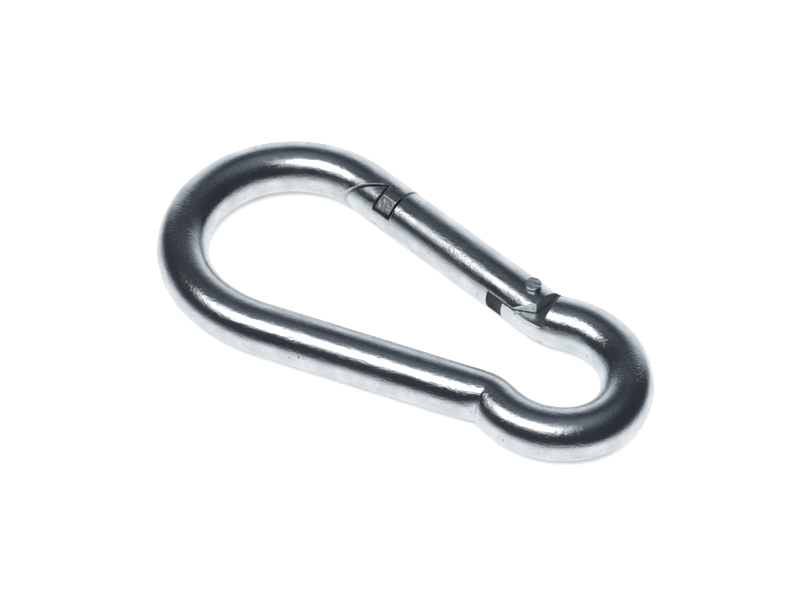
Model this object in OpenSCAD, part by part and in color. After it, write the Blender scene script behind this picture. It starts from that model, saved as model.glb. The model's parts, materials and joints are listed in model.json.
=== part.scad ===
// Spring snap hook bent from round bar, with a swinging bar gate that locks under load through an arrow head.
// The hook lies flat. +X runs from the large bow to the small eye, the gate is on the +Y side, +Z is up.
// The origin is the middle of the footprint on the surface it lies on.

/* [Bar] */
// Diameter of the bar that the body is bent from
bar_d = 10; // [8:0.1:12]
// Diameter of the bar that the gate is turned from
gate_d = 9.8; // [8:0.1:11.8]

/* [Bow and spine] */
// Centreline radius of the large bow
bow_r = 20.9; // [17:0.1:25]
// Length of straight bar between the gate's shoulder and the bow
nose_arm = 9.9; // [7:0.1:14]
// Centreline radius where the bow runs out into the spine
lead_r = 29; // [25:0.5:36]
// Turn of that run-out, in degrees
lead_turn = 22; // [10:1:30]

/* [Eye] */
// Centreline radius of the eye's two sides
eye_side_r = 14.7; // [12:0.1:18]
// Centreline radius of the eye's tip
eye_tip_r = 11.4; // [9:0.1:14]
// Turn of the eye's side next to the hinge, in degrees
eye_side_turn = 86; // [75:1:95]
// Turn of the eye's tip, in degrees
eye_tip_turn = 66; // [55:1:80]
// Centreline radius of the joggle between spine and eye
joggle_r = 6.8; // [6.2:0.1:12]
// Turn of the joggle, in degrees
joggle_turn = 29; // [20:1:34]
// Straight length between the joggle and the eye
joggle_flat = 1.7; // [0.5:0.1:4]
// Centreline radius of the neck between hinge and eye
neck_r = 12.8; // [10:0.1:18]
// Turn of the neck, in degrees
neck_turn = 28.6; // [20:0.1:32]

/* [Gate] */
// Distance along the gate from its shoulder to the hinge pin
gate_span = 33.25; // [28:0.25:40]
// Gap between the gate's faces and the nose, along the gate
nose_gap = 0.45; // [0.35:0.05:0.7]
// Length of the two lips that hold the arrow head
lip_len = 3.6; // [3:0.1:5]
// Height of the slot between the lips
lip_slot = 5; // [4:0.1:6]
// Height of the gate's neck in that slot
neck_h = 3.6; // [3:0.1:5]
// Distance from the axis to the back of the neck, towards the outside
neck_back = 1.5; // [0.5:0.1:2.5]
// Slope of the arrow head's long face to the gate's axis, in degrees
head_angle = 35.5; // [30:0.5:42]
// Distance of the arrow head's corner from the axis, towards the loop
head_corner = 0.2; // [0:0.1:1]
// Gap between the arrow head and its pocket, across the slanted face
pocket_gap = 0.4; // [0.3:0.05:0.8]
// Depth of the flat on each lip's inner shoulder
lip_flat = 0.3; // [0.1:0.05:0.5]

/* [Hinge] */
// Diameter of the hinge pin
pin_d = 3.2; // [2.5:0.1:4]
// Distance of the pin from the gate's axis, towards the outside
pin_offset = 0.75; // [0.4:0.05:1.2]
// Height of the pin's upper end above the gate
pin_proud = 1.1; // [0:0.1:1.5]
// Chamfer on the pin's upper end
pin_chamfer = 0.3; // [0.1:0.05:0.5]
// Radial running clearance of the pin in the body's tongue
pin_play = 0.06; // [0.02:0.01:0.1]
// Thickness of the body's tongue between the gate's ears
tongue_t = 4; // [3:0.1:5]
// Clearance between the tongue and each ear
ear_play = 0.2; // [0.15:0.05:0.4]
// Distance from the pin to the tongue's end face
tongue_reach = 2.9; // [2.4:0.1:4]
// Straight length of the tongue past the pin
tongue_run = 1.9; // [1.5:0.1:4]
// Distance from the pin to the body's full round section, on the gate's axis
shoulder_reach = 5.7; // [5.2:0.1:7]
// Tilt of the shoulder that ends the full round section, in degrees
shoulder_tilt = 12; // [0:1:16]
// Length of the gate's ears past the pin
ear_reach = 3.4; // [3:0.1:4]
// Slope of the cut that clears the ears when the gate opens, in degrees
ear_cut_angle = 32; // [28:1:38]
// Distance of that cut from the axis at the ears' end
ear_cut_left = 1.9; // [1:0.1:3]
// Length of the empty slot in front of the tongue
slot_front = 3.95; // [3.5:0.05:5]

/* [Closing spring] */
// Diameter of the blind bore in the gate
bore_d = 4.2; // [3.6:0.1:5]
// Depth of that bore from the end of the slot
bore_len = 16; // [13:0.5:20]
// Radial play of the plunger in the bore
plunger_play = 0.08; // [0.05:0.01:0.1]
// Length of the plunger inside the bore
plunger_guide = 6; // [4:0.5:8]
// Clearance between the plunger's tip and the tongue's end face
tip_gap = 0.05; // [0.03:0.01:0.1]
// Diameter of the spring wire
wire_d = 0.6; // [0.4:0.1:0.8]
// Clearance between the coils and the bore
coil_play = 0.15; // [0.1:0.05:0.3]
// Number of working coils
coil_count = 7; // [5:1:9]

/* [Hidden] */

$fn = 96;
CUT = 0.5;             // how far a cutting block runs past the face it cuts
LAP = 0.2;             // how far every second stretch of the body's bar runs into its neighbours
SEAM = 0.1;            // how much thinner those stretches are, so that each joint has one clean edge
zinc = [0.72, 0.75, 0.78];
zinc_dark = [0.62, 0.65, 0.68];
spring_steel = [0.45, 0.46, 0.48];

bar_r = bar_d / 2;
gate_r = gate_d / 2;
pin_r = pin_d / 2;
ear_slot = tongue_t + 2 * ear_play;
tongue_end = gate_span - tongue_reach;
slot_end = tongue_end - slot_front;
ear_end = gate_span + ear_reach;
neck_start = gate_span + tongue_run;
lip_front = -nose_gap / 2;
lip_back = lip_front - lip_len;
head_back = lip_back - nose_gap;
gate_shoulder = nose_gap / 2;

// The centreline is laid out in the gate's own frame: x along the gate from the shoulder to the hinge,
// y towards the outside. It is followed from the hinge round the eye, along the spine and round the bow.
// A heading is the angle from +x, and left(h) and right(h) point square to it.
function ahead(h) = [cos(h), sin(h)];
function left(h) = [-sin(h), cos(h)];
function right(h) = [sin(h), -cos(h)];

heading_neck = neck_turn;
heading_tip = heading_neck - eye_side_turn;
heading_far = heading_tip - eye_tip_turn;

neck_c = [neck_start, 0] + neck_r * left(0);
eye_near_c = neck_c + (neck_r + eye_side_r) * right(heading_neck);
eye_tip_c = eye_near_c + (eye_side_r - eye_tip_r) * left(heading_tip);
eye_far_c = eye_tip_c + (eye_tip_r - eye_side_r) * left(heading_far);
bow_c = [-nose_arm, -bow_r];

// The spine is the common tangent of the bow's run-out and the eye's joggle.
spine_off_bow = bow_r + (lead_r - bow_r) * (1 - cos(lead_turn));
spine_off_eye = (eye_side_r + joggle_r) * cos(joggle_turn) - joggle_flat * sin(joggle_turn) - joggle_r;
eye_to_bow = bow_c - eye_far_c;
raw_heading = atan2(eye_to_bow[1], eye_to_bow[0])
    - asin((spine_off_eye - spine_off_bow) / norm(eye_to_bow));
heading_spine = raw_heading > 0 ? raw_heading - 360 : raw_heading;
heading_joggle = heading_spine - joggle_turn;
heading_lead = heading_spine - lead_turn;

eye_end = eye_far_c + eye_side_r * left(heading_joggle);
joggle_start = eye_end + joggle_flat * ahead(heading_joggle);
joggle_c = joggle_start + joggle_r * left(heading_joggle);
spine_start = joggle_c + joggle_r * right(heading_spine);
lead_c = bow_c - (lead_r - bow_r) * left(heading_lead);
spine_end = lead_c + lead_r * left(heading_spine);
spine_len = norm(spine_end - spine_start);

// The long axis bisects the gate and the spine, and the origin is the middle of the outline.
half_angle = (heading_spine + 180) / 2;
function turned(p) = [p[0] * cos(half_angle) + p[1] * sin(half_angle),
                      p[1] * cos(half_angle) - p[0] * sin(half_angle)];
x_low = turned(bow_c)[0] - bow_r - bar_r;
x_high = turned(eye_tip_c)[0] + eye_tip_r + bar_r;
y_high = turned(bow_c)[1] + bow_r + bar_r;
y_low = turned(lead_c)[1] - lead_r - bar_r;
shoulder_at = -[x_low + x_high, y_low + y_high] / 2;

// Puts a child that is drawn in the gate's frame into place.
module on_gate_axis() {
    translate([shoulder_at[0], shoulder_at[1], bar_r])
    rotate([0, 0, -half_angle])
    children();
}

// A straight length of round bar from a point on the centreline.
module straight(from, heading, len, d) {
    translate([from[0], from[1], 0])
    rotate([0, 0, heading])
    rotate([0, 90, 0])
    cylinder(d = d, h = len);
}

// A bend of round bar about a centre, from one direction to another as seen from that centre.
module bend(centre, radius, from_angle, to_angle, d) {
    translate([centre[0], centre[1], 0])
    rotate([0, 0, from_angle])
    rotate_extrude(angle = to_angle - from_angle)
    translate([radius, 0])
    circle(d = d);
}

// The same two for every second stretch of the body, which laps into its neighbours.
module lapped_straight(from, heading, len) {
    straight(from - LAP * ahead(heading), heading, len + 2 * LAP, bar_d - SEAM);
}
module lapped_bend(centre, radius, from_angle, to_angle) {
    lap_angle = LAP / radius * 180 / PI;
    bend(centre, radius, from_angle - lap_angle, to_angle + lap_angle, bar_d - SEAM);
}

// The bent bar before it is machined. A bend to the right lies 90 degrees to the left of its headings.
module bent_bar() {
    straight([tongue_end, 0], 0, neck_start - tongue_end, bar_d);
    lapped_bend(neck_c, neck_r, -90, heading_neck - 90);
    bend(eye_near_c, eye_side_r, heading_tip + 90, heading_neck + 90, bar_d);
    lapped_bend(eye_tip_c, eye_tip_r, heading_far + 90, heading_tip + 90);
    bend(eye_far_c, eye_side_r, heading_joggle + 90, heading_far + 90, bar_d);
    lapped_straight(eye_end, heading_joggle, joggle_flat);
    bend(joggle_c, joggle_r, heading_joggle - 90, heading_spine - 90, bar_d);
    lapped_straight(spine_start, heading_spine, spine_len);
    bend(lead_c, lead_r, heading_lead + 90, heading_spine + 90, bar_d);
    lapped_bend(bow_c, bow_r, -270, heading_lead + 90);
    straight([-nose_arm, 0], 0, nose_arm + lip_front, bar_d);
}

// The flats that mill the bar down to the tongue, above and below, as far as the tilted shoulder.
module tongue_cuts() {
    from = tongue_end - CUT;
    to = gate_span + shoulder_reach;
    lean = bar_d * tan(shoulder_tilt);
    for (side = [0, 1])
        mirror([0, 0, side])
        translate([0, 0, tongue_t / 2])
        linear_extrude(height = bar_d)
        polygon([[from, -bar_d], [to + lean, -bar_d], [to - lean, bar_d], [from, bar_d]]);
}

// Where the arrow head's slanted face lies across the bar, moved out by a gap.
function head_face(x, gap) = -head_corner - (head_back - x) * tan(head_angle) + gap / cos(head_angle);
// Where that face has left the bar on the loop's side.
function head_face_end(gap) = head_back - (bar_d - head_corner + gap / cos(head_angle)) / tan(head_angle);

// The pocket for the arrow head, and the slot between the lips that leads into it.
module nose_pocket() {
    linear_extrude(height = bar_d + 2 * CUT, center = true)
    polygon([
        [lip_back, head_face(lip_back, pocket_gap)],
        [lip_back, -bar_d],
        [head_face_end(pocket_gap), -bar_d],
    ]);
    slot_start = head_back - nose_gap;
    translate([slot_start, -bar_d, -lip_slot / 2])
        cube([lip_front + CUT - slot_start, bar_d + neck_back + pocket_gap, lip_slot]);
}

// The flats on the two lips, on the loop's side.
module lip_flats() {
    for (side = [-1, 1])
        rotate([side * 45, 0, 0])
        translate([lip_back, -bar_d - bar_r + lip_flat, -bar_d / 2])
        cube([lip_len + CUT, bar_d, bar_d]);
}

module body() {
    color(zinc)
    on_gate_axis()
    difference() {
        bent_bar();
        tongue_cuts();
        nose_pocket();
        lip_flats();
        translate([gate_span, pin_offset, -bar_r])
            cylinder(r = pin_r + pin_play, h = bar_d);
    }
}

// The slanted cut that clears the body's shoulder on the loop's side of the ears.
module ear_cut() {
    foot = ear_end - (bar_d - ear_cut_left) / tan(ear_cut_angle);
    linear_extrude(height = bar_d, center = true)
    polygon([
        [ear_end, -ear_cut_left],
        [foot, -bar_d],
        [ear_end + CUT, -bar_d],
        [ear_end + CUT, -ear_cut_left],
    ]);
}

// What is milled away round the arrow head and the neck that ties it to the gate.
module head_cuts() {
    tip = head_face_end(0);
    linear_extrude(height = bar_d, center = true)
    polygon([
        [gate_shoulder, bar_d],
        [gate_shoulder, neck_back],
        [head_back, neck_back],
        [head_back, -head_corner],
        [tip, -bar_d],
        [tip - CUT, -bar_d],
        [tip - CUT, bar_d],
    ]);
    for (side = [0, 1])
        mirror([0, 0, side])
        translate([head_back, -bar_d, neck_h / 2])
        cube([gate_shoulder - head_back, 2 * bar_d, bar_d]);
}

module gate() {
    tip = head_face_end(0);
    color(zinc)
    on_gate_axis()
    difference() {
        straight([tip, 0], 0, ear_end - tip, gate_d);
        head_cuts();
        translate([slot_end, -bar_d, -ear_slot / 2])
            cube([ear_end - slot_end + CUT, 2 * bar_d, ear_slot]);
        ear_cut();
        translate([gate_span, pin_offset, -bar_r])
            cylinder(r = pin_r, h = bar_d);
        straight([slot_end - bore_len, 0], 0, bore_len + CUT, bore_d);
    }
}

// A plain rivet pin, held in the gate's ears, that turns in the body's tongue.
module hinge_pin() {
    bottom = -gate_r;
    top = gate_r + pin_proud;
    color(zinc_dark)
    on_gate_axis()
    translate([gate_span, pin_offset, 0])
    rotate_extrude()
    polygon([
        [0, bottom],
        [pin_r, bottom],
        [pin_r, top - pin_chamfer],
        [pin_r - pin_chamfer, top],
        [0, top],
    ]);
}

// The plunger that the spring pushes out of the gate against the end of the tongue.
module plunger() {
    r = bore_d / 2 - plunger_play;
    back = slot_end - plunger_guide;
    len = tongue_end - tip_gap - back;
    color(zinc_dark)
    on_gate_axis()
    translate([back, 0, 0])
    rotate([0, 90, 0])
    union() {
        cylinder(r = r, h = len - r);
        translate([0, 0, len - r])
            sphere(r = r);
    }
}

// A compression spring wound round the gate's axis, as one tube swept along its helix.
module closing_spring() {
    sides = 6;
    steps = 14;
    mean_r = bore_d / 2 - coil_play - wire_d / 2;
    from = slot_end - bore_len + wire_d;
    to = slot_end - plunger_guide - wire_d;
    rings = coil_count * steps;
    function on_coil(i, k) =
        let (a = 360 * i / steps, b = 360 * k / sides, reach = mean_r + wire_d / 2 * cos(b))
        [from + (to - from) * i / rings + wire_d / 2 * sin(b), reach * cos(a), reach * sin(a)];
    points = [for (i = [0:rings]) for (k = [0:sides - 1]) on_coil(i, k)];
    walls = [for (i = [0:rings - 1]) for (k = [0:sides - 1])
        [i * sides + k, i * sides + (k + 1) % sides, (i + 1) * sides + (k + 1) % sides, (i + 1) * sides + k]];
    first = [for (k = [sides - 1:-1:0]) k];
    last = [for (k = [0:sides - 1]) rings * sides + k];
    color(spring_steel)
    on_gate_axis()
    polyhedron(points = points, faces = concat(walls, [first, last]), convexity = 10);
}

body();
gate();
hinge_pin();
plunger();
closing_spring();
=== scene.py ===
"""Spring snap hook of bent round bar with a swinging gate, lying flat on a pale table. The studio's lengths
are in metres. The pieces' are in millimetres, until finish_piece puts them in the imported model's frame, which
has +X from the large bow to the small eye."""

import json
import math

import bpy
from mathutils import Matrix, Vector


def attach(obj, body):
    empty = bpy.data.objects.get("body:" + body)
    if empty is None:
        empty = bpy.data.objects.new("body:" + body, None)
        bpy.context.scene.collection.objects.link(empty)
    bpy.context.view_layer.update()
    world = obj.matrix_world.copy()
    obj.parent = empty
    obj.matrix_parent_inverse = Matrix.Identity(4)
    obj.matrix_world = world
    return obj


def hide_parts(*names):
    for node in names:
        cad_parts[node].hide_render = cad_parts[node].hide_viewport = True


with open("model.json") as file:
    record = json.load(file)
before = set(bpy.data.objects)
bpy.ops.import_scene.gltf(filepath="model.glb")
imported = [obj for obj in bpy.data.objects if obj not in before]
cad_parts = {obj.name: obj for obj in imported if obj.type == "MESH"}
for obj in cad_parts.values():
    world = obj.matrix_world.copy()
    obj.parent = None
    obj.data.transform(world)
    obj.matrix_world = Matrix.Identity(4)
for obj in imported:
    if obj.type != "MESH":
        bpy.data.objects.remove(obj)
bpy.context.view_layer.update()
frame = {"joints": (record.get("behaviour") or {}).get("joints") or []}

# ---------------------------------------------------------------------------------------------------------
# Studio: a white table, a dark room with a pale window behind, and one large softbox on the camera's left. A
# ceiling light fills the shadows. The camera looks down on the hook from the front right with a long lens.
# ---------------------------------------------------------------------------------------------------------
MM = 0.001
camera_azimuth = 33.25
camera_elevation = 49.15
camera_distance = 0.5222
camera_target = Vector((-1.055, -0.217, 5.0)) * MM
camera_lens_mm = 124.2
sensor_width_mm = 36
nearest_seen = 0.01
table_size = 6


def towards(azimuth_from_camera, elevation):
    """The unit vector in a direction. Its azimuth is counted from the camera's, to the camera's right."""
    turn = math.radians(camera_azimuth + azimuth_from_camera)
    rise = math.radians(elevation)
    return Vector((math.sin(turn) * math.cos(rise), -math.cos(turn) * math.cos(rise), math.sin(rise)))


to_camera = towards(0, camera_elevation)
bpy.ops.object.select_all(action="DESELECT")
bpy.ops.object.camera_add(location=camera_target + to_camera * camera_distance)
camera = bpy.context.object
camera.name = "camera"
camera.rotation_euler = to_camera.to_track_quat("Z", "Y").to_euler()
camera.data.lens = camera_lens_mm
camera.data.sensor_width = sensor_width_mm
camera.data.clip_start = nearest_seen
bpy.context.scene.camera = camera
bpy.context.scene.view_settings.view_transform = "Standard"


def linear(colour):
    """Turns an sRGB hex colour into the linear one that Blender's shaders take."""
    channels = [int(colour[i:i + 2], 16) / 255 for i in (1, 3, 5)]
    return tuple(c / 12.92 if c <= 0.04045 else ((c + 0.055) / 1.055) ** 2.4 for c in channels) + (1,)


def add(tree, kind, settings=None, **links):
    """Adds a node. settings are its properties, and links are its inputs: a value, or another node's output.
    An input is given by its name, or as i and its number where several inputs have the same name."""
    node = tree.nodes.new(kind)
    for name, value in (settings or {}).items():
        setattr(node, name, value)
    for name, value in links.items():
        numbered = name[0] == "i" and name[1:].isdigit()
        socket = node.inputs[int(name[1:]) if numbered else name.replace("_", " ")]
        if isinstance(value, bpy.types.NodeSocket):
            tree.links.new(value, socket)
        else:
            socket.default_value = value
    return node


def new_material(name):
    """A node material that has only its shader so far, with its node tree and that shader."""
    material = bpy.data.materials.new(name)
    material.use_nodes = True
    shader = material.node_tree.nodes["Principled BSDF"]
    return material, material.node_tree, shader


# White melamine laminate with a matt face.
bpy.ops.mesh.primitive_plane_add(size=table_size)
table = bpy.context.object
table.name = "table"
material, tree, shader = new_material("white_matt_laminate")
shader.inputs["Base Color"].default_value = linear("#f4f4f5")
shader.inputs["Roughness"].default_value = 0.6
shader.inputs["Specular IOR Level"].default_value = 0.3
table.data.materials.append(material)


def soft_light(name, direction, distance, size, roll, brightness, in_reflections):
    """A softbox that faces the hook. Brightness is that of its face, where 1 is a white table's."""
    bpy.ops.object.light_add(type="AREA", location=direction * distance)
    light = bpy.context.object
    light.name = name
    facing = direction.to_track_quat("Z", "Y").to_matrix().to_4x4()
    light.rotation_euler = (facing @ Matrix.Rotation(math.radians(roll), 4, "Z")).to_euler()
    light.data.shape = "RECTANGLE"
    light.data.size, light.data.size_y = size
    light.data.energy = brightness * math.pi * size[0] * size[1]
    light.visible_glossy = in_reflections


soft_light(
    "softbox_left", towards(-52, 61), distance=1.0, size=(0.95, 0.47), roll=27.0, brightness=2.3,
    in_reflections=True,
)
soft_light(
    "ceiling_bounce", towards(-30, 80), distance=1.3, size=(2.4, 2.4), roll=0.0, brightness=5.0,
    in_reflections=False,
)

# The room is seen mostly in the metal. It is dark, with a pale window behind the hook. The table itself is
# left out of reflections, and the room's lower half stands for it: pale below, and falling off towards the
# horizon. The window is told by how far a direction points to it, from its edge to where it is full.
window_azimuth = 175
window_edge, window_full = 0.62, 0.92
glass_tint = "#dbebff"
table.visible_glossy = False
world = bpy.data.worlds.new("studio_room")
bpy.context.scene.world = world
world.use_nodes = True
tree = world.node_tree
background = tree.nodes["Background"]
view = add(tree, "ShaderNodeTexCoord").outputs["Generated"]
height = add(tree, "ShaderNodeSeparateXYZ", Vector=view).outputs["Z"]


def bands(amount, stops):
    """A grey that changes along an amount, from (amount, brightness) stops. Amounts run from -1 to 1."""
    halved = add(tree, "ShaderNodeMath", {"operation": "MULTIPLY_ADD"}, i0=amount, i1=0.5, i2=0.5)
    ramp = add(tree, "ShaderNodeValToRGB", Fac=halved.outputs[0])
    elements = ramp.color_ramp.elements
    elements[1].position, elements[1].color = 1.0, (stops[-1][1],) * 3 + (1,)
    elements[0].position, elements[0].color = 0.0, (stops[0][1],) * 3 + (1,)
    for at, brightness in stops[1:-1]:
        elements.new(at / 2 + 0.5).color = (brightness,) * 3 + (1,)
    return ramp.outputs["Color"]


def mixed(tree, amount, first, second, blend="MIX"):
    """Goes from the first colour to the second by an amount. The second may be multiplied in instead."""
    settings = {"data_type": "RGBA", "blend_type": blend}
    return add(tree, "ShaderNodeMix", settings, Factor=amount, i6=first, i7=second).outputs[2]


around = bands(height, [
    (-1.0, 0.98), (-0.5, 1.0), (-0.32, 0.9), (-0.2, 0.6), (-0.1, 0.28), (0.0, 0.09), (0.12, 0.045),
    (0.8, 0.05), (0.93, 0.15), (1.0, 0.28),
])
behind = bands(height, [
    (-1.0, 0.98), (-0.25, 0.95), (0.0, 0.95), (0.3, 0.82), (0.42, 0.6), (0.5, 0.4), (0.58, 0.22), (0.7, 0.14),
    (0.85, 0.13), (1.0, 0.28),
])
away = add(
    tree, "ShaderNodeVectorMath", {"operation": "DOT_PRODUCT"}, i0=view, i1=towards(window_azimuth, 0)
).outputs["Value"]
window = add(
    tree, "ShaderNodeMapRange", {"interpolation_type": "SMOOTHSTEP"},
    Value=away, From_Min=window_edge, From_Max=window_full,
).outputs["Result"]
grey = mixed(tree, window, around, behind)
darkness = add(tree, "ShaderNodeMath", {"operation": "SUBTRACT"}, i0=1.0, i1=grey).outputs[0]
room = mixed(tree, darkness, grey, linear(glass_tint), "MULTIPLY")
tree.links.new(room, background.inputs["Color"])

# ---------------------------------------------------------------------------------------------------------
# Body: one length of 10 mm steel bar, bent cold round formers. The hinge end is milled to a tongue, the nose
# is slotted and pocketed for the gate's head, and the whole is zinc plated. It is the piece that stays fixed.
# ---------------------------------------------------------------------------------------------------------
bar_r = 5.0
gate_span = 33.25
pin_r, pin_offset, pin_play = 1.6, 0.75, 0.06
tongue_reach, tongue_run, tongue_t = 2.9, 1.9, 4.0
shoulder_reach, shoulder_tilt = 5.7, 12.0
neck_r, neck_turn = 12.8, 28.6
eye_side_r, eye_side_turn = 14.7, 86.0
eye_tip_r, eye_tip_turn = 11.4, 66.0
joggle_flat, joggle_r, joggle_turn, after_joggle = 1.7, 6.8, 29.0, 4.0
lead_r, lead_turn = 29.0, 22.0
bow_r, nose_arm = 20.9, 9.9
nose_gap, lip_len, lip_slot, lip_flat = 0.45, 3.6, 5.0, 0.3
head_angle, head_corner, pocket_gap = math.radians(35.5), 0.2, 0.4
neck_back = 1.5
bar_sides, pin_sides = 48, 64
broken_edge, edge_steps = 0.13, 2
round_over, crisp_over = math.radians(28), math.radians(40)
merge_within, flat_within = 0.02, math.radians(0.02)
crease_depth, crease_eye_side, crease_spine_side, crease_reach = 0.95, 0.55, 1.6, 7.5
past = 12.0
through = 4 * bar_r

# What every metal skin shares. The spacing of the pits is in grain sizes, and the last two are how much
# rougher the dull clouds and the pits are.
cloud_mm, patch_mm, pit_spacing = 5.0, 9.0, 1.6
dull_rougher, pit_rougher = 0.08, 0.2

# Shapes are made in millimetres in the gate's own frame, which has x along the gate from its shoulder to the
# hinge, y outwards, and z = 0 at mid bar. This matrix then puts them in place.
joints = {joint["name"]: joint for joint in frame["joints"]}
hinge_at = Vector(joints["gate_hinge"]["pos_m"])
slide = joints["plunger_slide"]["axis"]
half_angle = math.atan2(slide[1], -slide[0])
place = (
    Matrix.Translation(hinge_at)
    @ Matrix.Rotation(-half_angle, 4, "Z")
    @ Matrix.Scale(MM, 4)
    @ Matrix.Translation(Vector((-gate_span, -pin_offset, 0)))
)


def worked_metal(name, bright, dull, pit, grain_mm, grain_depth, dent_mm, dent_depth, roughness):
    """A bare or plated metal skin. Clouds of a duller tone lie over a bright one, shallow dents make the
    reflections wander, and a fine grain with scattered pits breaks up their edges. The grain is patchy. The
    depths of grain and dents are shares of their sizes."""
    material, tree, shader = new_material(name)
    where = add(tree, "ShaderNodeTexCoord").outputs["Object"]

    def noise(size_mm, detail):
        return add(
            tree, "ShaderNodeTexNoise", Vector=where, Scale=1 / (size_mm * MM), Detail=detail
        ).outputs["Fac"]

    def spread(value, low, high, to_low=0.0, to_high=1.0):
        return add(
            tree, "ShaderNodeMapRange",
            Value=value, From_Min=low, From_Max=high, To_Min=to_low, To_Max=to_high,
        ).outputs["Result"]

    clouds = spread(noise(cloud_mm, 3.0), 0.35, 0.65)
    grain = noise(grain_mm, 4.0)
    dents = noise(dent_mm, 2.0)
    pits = spread(noise(grain_mm * pit_spacing, 1.0), 0.68, 0.78)
    patches = spread(noise(patch_mm, 1.0), 0.4, 0.6, 0.5, 1.0)
    pitted = mixed(tree, pits, mixed(tree, clouds, linear(bright), linear(dull)), linear(pit))
    rough = spread(clouds, 0, 1, roughness, roughness + dull_rougher)
    rougher = add(
        tree, "ShaderNodeMath", {"operation": "MULTIPLY_ADD"}, i0=pits, i1=pit_rougher, i2=rough
    ).outputs[0]
    coarse_bump = add(tree, "ShaderNodeBump", Height=dents, Distance=dent_mm * dent_depth * MM)
    fine_bump = add(
        tree, "ShaderNodeBump", Height=grain, Distance=grain_mm * grain_depth * MM, Strength=patches,
        Normal=coarse_bump.outputs["Normal"],
    )
    shader.inputs["Metallic"].default_value = 1.0
    tree.links.new(pitted, shader.inputs["Base Color"])
    tree.links.new(rougher, shader.inputs["Roughness"])
    tree.links.new(fine_bump.outputs["Normal"], shader.inputs["Normal"])
    return material


# Two finishes of bright zinc plating, electroplated on the finished bar in a barrel. The rolled skin of the
# bar is smooth between its pits, and the faces that a cutter has left are coarser, more uneven and duller.
rolled_zinc = worked_metal(
    "zinc_plate_on_rolled_bar", "#e6ebee", "#d2d9dd", "#8b9398",
    grain_mm=0.34, grain_depth=0.2, dent_mm=1.6, dent_depth=0.018, roughness=0.13,
)
milled_zinc = worked_metal(
    "zinc_plate_on_milled_steel", "#e4ebec", "#c2cdce", "#7f8b8d",
    grain_mm=0.4, grain_depth=0.22, dent_mm=0.9, dent_depth=0.14, roughness=0.3,
)


def ahead(heading):
    """The unit vector along a heading."""
    return Vector((math.cos(heading), math.sin(heading), 0))


def left(heading):
    """The unit vector square to a heading, on its left."""
    return Vector((-math.sin(heading), math.cos(heading), 0))


def start_bar(name, radius, x):
    """Starts a bar as a ring square to x, and leaves it in edit mode."""
    bpy.ops.object.select_all(action="DESELECT")
    bpy.ops.mesh.primitive_circle_add(
        vertices=bar_sides, radius=radius, location=(x, 0, 0), rotation=(0, math.pi / 2, 0)
    )
    bpy.context.object.name = name
    bpy.context.object.data.materials.append(rolled_zinc)
    bpy.ops.object.transform_apply(location=True, rotation=True, scale=True)
    bpy.ops.object.mode_set(mode="EDIT")
    bpy.ops.mesh.select_all(action="SELECT")
    return bpy.context.object


def draw_out(at, heading, length, rings):
    """Extrudes the last ring straight ahead, and returns where it ends."""
    step = ahead(heading) * (length / rings)
    for _ in range(rings):
        bpy.ops.mesh.extrude_region_move(TRANSFORM_OT_translate={"value": step})
    return at + step * rings


def bend(at, heading, radius, turn, ring_turn=3.0):
    """Spins the last ring round a former, to the left if turn is positive, and returns the new end and
    heading. There is a ring about every ring_turn degrees."""
    side = 1 if turn > 0 else -1
    centre = at + left(heading) * radius * side
    steps = max(4, round(abs(turn) / ring_turn))
    bpy.ops.mesh.spin(steps=steps, angle=-math.radians(turn), center=centre, axis=(0, 0, 1))
    heading += math.radians(turn)
    return centre - left(heading) * radius * side, heading


def close_bar():
    """Fills both ends of the bar and leaves edit mode."""
    bpy.ops.mesh.select_all(action="DESELECT")
    bpy.ops.mesh.select_mode(type="VERT")
    bpy.ops.mesh.select_non_manifold(extend=False, use_boundary=True)
    bpy.ops.mesh.edge_face_add()
    bpy.ops.mesh.select_all(action="SELECT")
    bpy.ops.mesh.normals_make_consistent(inside=False)
    bpy.ops.object.mode_set(mode="OBJECT")


def turned(pivot, angle, axis="Z"):
    """The place of a cutter that is turned about an axis through a pivot."""
    return Matrix.Translation(pivot) @ Matrix.Rotation(angle, 4, axis)


def block(x, y, z, place_at=Matrix.Identity(4), keep_below_x=None):
    """A square cutter with the given low and high ends, put in place. The part of it beyond keep_below_x is
    cut off square, if that is given."""
    middle = Vector(((x[0] + x[1]) / 2, (y[0] + y[1]) / 2, (z[0] + z[1]) / 2))
    size = (x[1] - x[0], y[1] - y[0], z[1] - z[0])
    bpy.ops.object.select_all(action="DESELECT")
    bpy.ops.mesh.primitive_cube_add(size=1)
    cutter = bpy.context.object
    cutter.data.transform(place_at @ Matrix.Translation(middle) @ Matrix.Diagonal((*size, 1)))
    cutter.data.materials.append(milled_zinc)
    if keep_below_x is not None:
        bpy.ops.object.mode_set(mode="EDIT")
        bpy.ops.mesh.select_all(action="SELECT")
        bpy.ops.mesh.bisect(
            plane_co=(keep_below_x, 0, 0), plane_no=(1, 0, 0), use_fill=True, clear_outer=True
        )
        bpy.ops.object.mode_set(mode="OBJECT")
    return cutter


def drill(radius, middle, depth, rotation=(0, 0, 0), sides=bar_sides):
    """A round cutter, along z unless it is turned. The pin starts as one too."""
    bpy.ops.object.select_all(action="DESELECT")
    bpy.ops.mesh.primitive_cylinder_add(
        vertices=sides, radius=radius, depth=depth, location=middle, rotation=rotation
    )
    bpy.ops.object.transform_apply(location=True, rotation=True, scale=True)
    bpy.context.object.data.materials.append(milled_zinc)
    return bpy.context.object


def cut(piece, *tools):
    """Cuts each tool's shape out of the piece. The cut faces keep the tool's material."""
    for tool in tools:
        modifier = piece.modifiers.new("cut", "BOOLEAN")
        modifier.operation = "DIFFERENCE"
        modifier.solver = "EXACT"
        modifier.material_mode = "TRANSFER"
        modifier.object = tool
        with bpy.context.temp_override(object=piece, active_object=piece):
            bpy.ops.object.modifier_apply(modifier=modifier.name)
        bpy.data.objects.remove(tool)


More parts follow.
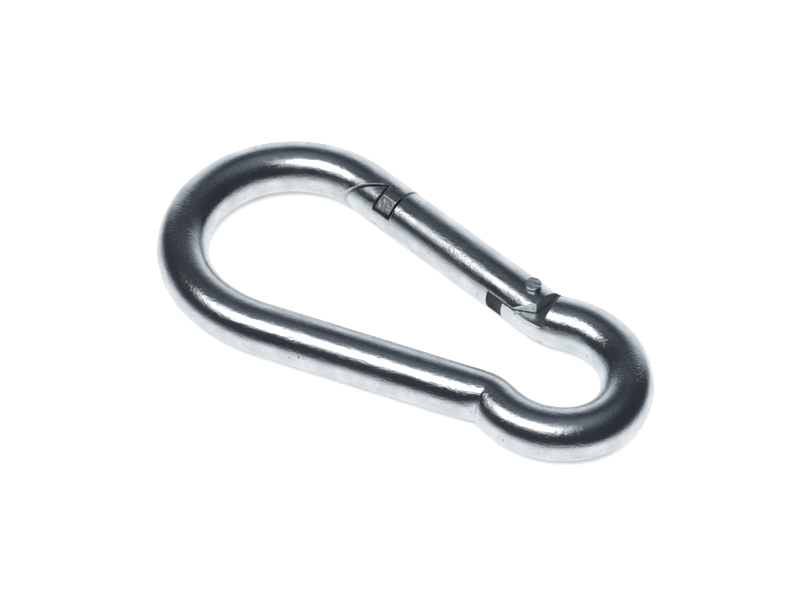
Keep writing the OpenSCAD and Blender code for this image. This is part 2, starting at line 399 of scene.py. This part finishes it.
def break_edges(piece, width):
    """Rounds every edge sharper than round_over as tumbling and plating do, and shades the piece smooth but
    for edges sharper than crisp_over. Points that nearly meet are merged first, and flat stretches of the
    milled faces are joined."""
    bpy.ops.object.select_all(action="DESELECT")
    piece.select_set(True)
    bpy.context.view_layer.objects.active = piece
    bpy.ops.object.mode_set(mode="EDIT")
    bpy.ops.mesh.select_all(action="SELECT")
    bpy.ops.mesh.remove_doubles(threshold=merge_within)
    bpy.ops.mesh.select_all(action="DESELECT")
    piece.active_material_index = 1
    bpy.ops.object.material_slot_select()
    bpy.ops.mesh.dissolve_limited(angle_limit=flat_within, delimit={"NORMAL"})
    bpy.ops.mesh.select_all(action="SELECT")
    bpy.ops.mesh.normals_make_consistent(inside=False)
    bpy.ops.object.mode_set(mode="OBJECT")
    modifier = piece.modifiers.new("edges", "BEVEL")
    modifier.width = width
    modifier.segments = edge_steps
    modifier.material = 0
    modifier.face_strength_mode = "FSTR_AFFECTED"
    modifier.limit_method = "ANGLE"
    modifier.angle_limit = round_over
    modifier.use_clamp_overlap = False
    bpy.ops.object.modifier_apply(modifier=modifier.name)
    bpy.ops.object.shade_smooth_by_angle(angle=crisp_over)
    modifier = piece.modifiers.new("shading", "WEIGHTED_NORMAL")
    modifier.keep_sharp = True
    modifier.use_face_influence = True
    bpy.ops.object.modifier_apply(modifier=modifier.name)


def finish_piece(piece, node, body_name):
    """Puts a finished piece in place of its CAD node, on the body that it moves with."""
    piece.data.transform(place)
    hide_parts(node)
    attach(piece, body_name)


tongue_end = gate_span - tongue_reach
lip_front = -nose_gap / 2
lip_back = lip_front - lip_len
head_back = lip_back - nose_gap
heading_spine = 2 * half_angle - math.pi
heading_lead = heading_spine - math.radians(lead_turn)
bow_c = Vector((-nose_arm, -bow_r, 0))
lead_c = bow_c - left(heading_lead) * (lead_r - bow_r)
spine_end = lead_c + left(heading_spine) * lead_r

body = start_bar("body_bar", bar_r, tongue_end)
at, heading = draw_out(Vector((tongue_end, 0, 0)), 0.0, tongue_reach + tongue_run, 4), 0.0
at, heading = bend(at, heading, neck_r, neck_turn)
at, heading = bend(at, heading, eye_side_r, -eye_side_turn)
at, heading = bend(at, heading, eye_tip_r, -eye_tip_turn)
at, heading = bend(at, heading, eye_side_r, math.degrees(heading_spine - heading) - joggle_turn, 1.5)
at = draw_out(at, heading, joggle_flat, 6)
joggle_c = at + left(heading) * joggle_r
crease_heading = heading + math.radians(joggle_turn / 2)
at, heading = bend(at, heading, joggle_r, joggle_turn)
at = draw_out(at, heading, after_joggle, 12)
at = draw_out(at, heading, (spine_end - at).length, 15)
at, heading = bend(at, heading, lead_r, -lead_turn)
at, heading = bend(at, heading, bow_r, -360 - math.degrees(heading))
at = draw_out(at, heading, lip_front - at.x, 8)
close_bar()

# The bar has folded into a crease on the inside of its tightest bend, steep towards the eye.
for vertex in body.data.vertices:
    from_centre = vertex.co - joggle_c
    along = from_centre.dot(ahead(crease_heading))
    across = -from_centre.dot(left(crease_heading)) - (joggle_r - bar_r)
    width = crease_spine_side if along > 0 else crease_eye_side
    depth = crease_depth * math.exp(-abs(along) / width) * max(0.0, 1 - abs(across) / crease_reach) ** 2
    vertex.co -= left(crease_heading) * depth

shoulder = turned((gate_span + shoulder_reach, 0, 0), math.radians(shoulder_tilt))
pocket_y = nose_gap * math.tan(head_angle) - head_corner + pocket_gap / math.cos(head_angle)
pocket = turned((lip_back, pocket_y, 0), head_angle)
lip_side = (lip_back, past), (-past, lip_flat - bar_r), (-past, past)
lip_slopes = [turned((0, 0, 0), math.radians(slope), "X") for slope in (45, -45)]
cut(
    body,
    block((-past, 0), (-past, past), (tongue_t / 2, past), shoulder),
    block((-past, 0), (-past, past), (-past, -tongue_t / 2), shoulder),
    block((-2 * past, past), (-past, 0), (-past, past), pocket, keep_below_x=lip_back),
    block(*lip_side, lip_slopes[0]),
    block(*lip_side, lip_slopes[1]),
    block((head_back - nose_gap, past), (-past, neck_back + pocket_gap), (-lip_slot / 2, lip_slot / 2)),
    drill(pin_r + pin_play, (gate_span, pin_offset, 0), through),
)
break_edges(body, broken_edge)
finish_piece(body, "body", "body")

# ---------------------------------------------------------------------------------------------------------
# Gate: a shorter length of slightly thinner bar, zinc plated like the body. Its head is necked to hook into
# the nose, and its other end is slotted to straddle the body's tongue and bored for the plunger.
# ---------------------------------------------------------------------------------------------------------
gate_r = 4.9
neck_t = 3.6
ear_slot_t, ear_slot_front = 4.4, 3.95
ear_reach, ear_drop, ear_angle = 3.4, 1.9, math.radians(32)
bore_r, bore_depth, bore_overrun = 2.1, 16.0, 1.0

head_tip = head_back - (2 * bar_r - head_corner) / math.tan(head_angle)
gate_shoulder = nose_gap / 2
slot_end = tongue_end - ear_slot_front
ear_end = gate_span + ear_reach
gate = start_bar("gate_bar", gate_r, head_tip)
draw_out(Vector((head_tip, 0, 0)), 0.0, ear_end - head_tip, 24)
close_bar()
cut(
    gate,
    block((-past, gate_shoulder), (neck_back, past), (-past, past)),
    block((-2 * past, head_back), (-head_corner, past), (-past, past)),
    block((-2 * past, 0), (0, past), (-past, past), turned((head_back, -head_corner, 0), head_angle)),
    block((head_back, gate_shoulder), (-past, past), (neck_t / 2, past)),
    block((head_back, gate_shoulder), (-past, past), (-past, -neck_t / 2)),
    block((slot_end, ear_end + past), (-past, past), (-ear_slot_t / 2, ear_slot_t / 2)),
    block((-2 * past, past), (-past, 0), (-past, past), turned((ear_end, -ear_drop, 0), ear_angle)),
    drill(pin_r, (gate_span, pin_offset, 0), through),
    drill(
        bore_r, (slot_end - bore_depth / 2 + bore_overrun / 2, 0, 0), bore_depth + bore_overrun,
        (0, math.pi / 2, 0),
    ),
)
break_edges(gate, broken_edge)
finish_piece(gate, "gate", "gate")

# ---------------------------------------------------------------------------------------------------------
# Hinge pin: a plain steel rivet, sheared from wire, zinc plated and pressed through both ears of the gate.
# Its upper end stands proud, with the two slopes that the shear left and a tumbled edge.
# ---------------------------------------------------------------------------------------------------------
pin_proud, tumbled_edge = 1.1, 0.2
shear_slopes = math.radians(-8), math.radians(14)
shear_turn = math.radians(-70)
pin_bottom, pin_top = -gate_r, gate_r + pin_proud
pin = drill(pin_r, (0, 0, (pin_bottom + pin_top) / 2), pin_top - pin_bottom, sides=pin_sides)
pin.name = "hinge_rivet"
pin.data.materials[0] = rolled_zinc
cut(
    pin,
    block((-past, 0), (-past, past), (0, past), turned((0, 0, pin_top), shear_slopes[0], "Y")),
    block((0, past), (-past, past), (0, past), turned((0, 0, pin_top), shear_slopes[1], "Y")),
)
pin.data.transform(Matrix.Translation((gate_span, pin_offset, 0)) @ Matrix.Rotation(shear_turn, 4, "Z"))
break_edges(pin, tumbled_edge)
finish_piece(pin, "hinge_pin", "gate")

# ---------------------------------------------------------------------------------------------------------
# Plunger: a steel pin with a round nose, turned from rod and left bare. It slides in the gate's bore and
# presses on the end of the body's tongue. Its CAD shape is kept, because little of it shows in the slot.
# ---------------------------------------------------------------------------------------------------------
def keep_shape(node, material):
    """Gives a CAD node its material and leaves its shape alone."""
    piece = bpy.data.objects[node]
    piece.data.materials.clear()
    piece.data.materials.append(material)


# Turned carbon steel with a thin film of oil.
keep_shape("plunger", worked_metal(
    "oiled_turned_steel", "#b9bcbf", "#9b9fa3", "#6b6f73",
    grain_mm=0.2, grain_depth=0.1, dent_mm=0.8, dent_depth=0.02, roughness=0.24,
))

# ---------------------------------------------------------------------------------------------------------
# Closing spring: seven coils of cold-drawn spring wire, wound on a mandrel and held in the gate's bore behind
# the plunger. Its CAD shape is kept, because it is out of sight.
# ---------------------------------------------------------------------------------------------------------
# Drawn high-carbon wire, grey from its heat treatment.
keep_shape("closing_spring", worked_metal(
    "drawn_spring_steel_wire", "#8f9297", "#74777c", "#55585c",
    grain_mm=0.15, grain_depth=0.12, dent_mm=0.6, dent_depth=0.03, roughness=0.3,
))
